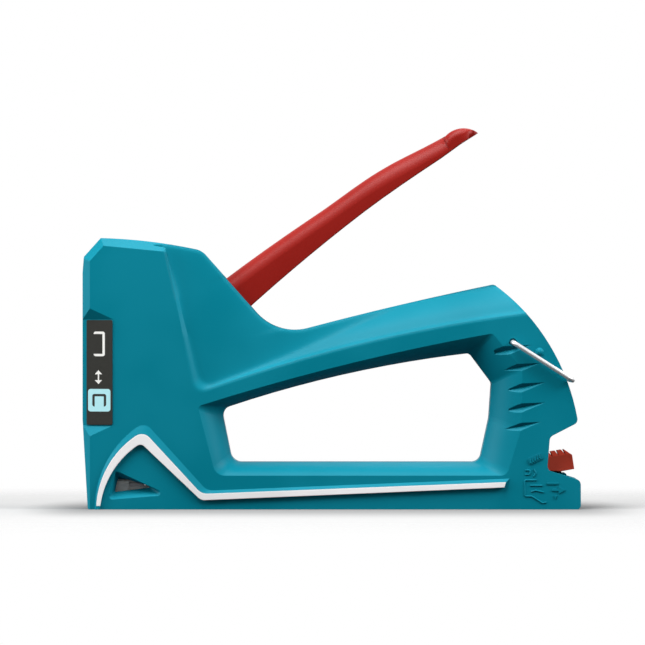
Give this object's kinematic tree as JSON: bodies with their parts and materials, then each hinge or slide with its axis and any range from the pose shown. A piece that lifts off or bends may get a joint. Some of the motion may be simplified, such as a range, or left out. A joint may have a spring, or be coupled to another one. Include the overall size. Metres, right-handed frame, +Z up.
{
  "type": "staple gun",
  "caption": "Teal hand staple gun with a red squeeze lever, light trim strips, wire bail and push-in magazine with a red knob.",
  "frame": {"origin": "centre of the bounding box's bottom face, on the rest plane under the base", "axes": "+X from the nose to the tail, +Y to the user's right, +Z up with the base on the ground"},
  "size_m": [0.1858, 0.0362, 0.1424],
  "materials": {
    "housing_teal": "fine moulded texture, satin",
    "trim_grey": "smooth light grey",
    "label_dark": "smooth printed film",
    "screw_steel": "zinc plated",
    "sheet_steel": "bright rolled sheet",
    "seat_plastic": "moulded black",
    "bumper_rubber": "dull black",
    "pin_steel": "ground",
    "lever_red": "satin powder coat",
    "spring_steel": "oiled wire",
    "hammer_steel": "hardened, dark",
    "drawer_teal": "moulded",
    "knob_red": "satin moulded",
    "bail_steel": "bright plated wire"
  },
  "bodies": {
    "housing": {"left_housing": "housing_teal", "right_housing": "housing_teal", "trim_left": "trim_grey", "trim_right": "trim_grey", "label_left": "label_dark", "label_right": "label_dark", "housing_screws": "screw_steel", "nose_plate": "sheet_steel", "magazine_channel": "sheet_steel", "spring_seat": "seat_plastic", "bumper": "bumper_rubber", "lever_pin": "pin_steel"},
    "lever": {"lever": "lever_red", "lever_bush": "pin_steel", "lever_return_spring": "spring_steel"},
    "hammer": {"hammer": "hammer_steel", "driver_blade": "hammer_steel", "hammer_rivets": "pin_steel", "power_spring": "spring_steel"},
    "drawer": {"staple_rail": "sheet_steel", "guide_rod": "pin_steel", "drawer_end": "drawer_teal", "end_knob": "knob_red"},
    "follower": {"follower": "hammer_steel", "follower_spring": "spring_steel"},
    "bail": {"wire_bail": "bail_steel"}
  },
  "joints": [
    {"name": "lever_squeeze", "type": "hinge", "parent": "housing", "child": "lever", "pos_m": [-0.0531, 0, 0.0725], "axis": [0, 1, 0], "range_deg": [0, 27.8], "stiffness_Nm_per_rad": 2, "springref_deg": -20.05, "deforming": ["lever_return_spring"]},
    {"name": "hammer_lift", "type": "slide", "parent": "housing", "child": "hammer", "axis": [0, 0, 1], "range_m": [0, 0.0146], "deforming": ["power_spring"]},
    {"name": "drawer_slide", "type": "slide", "parent": "housing", "child": "drawer", "axis": [1, 0, 0], "range_m": [0, 0.11]},
    {"name": "follower_feed", "type": "slide", "parent": "drawer", "child": "follower", "axis": [1, 0, 0], "range_m": [0, 0.09], "stiffness_N_per_m": 60, "springref_m": -0.02, "deforming": ["follower_spring"]},
    {"name": "bail_swing", "type": "hinge", "parent": "housing", "child": "bail", "pos_m": [0.0676, 0, 0.0623], "axis": [0, -1, 0], "range_deg": [0, 133]}
  ],
  "couplings": [
    {"joint": "hammer_lift", "follows": "lever_squeeze", "m_per_rad": 0.0297}
  ]
}
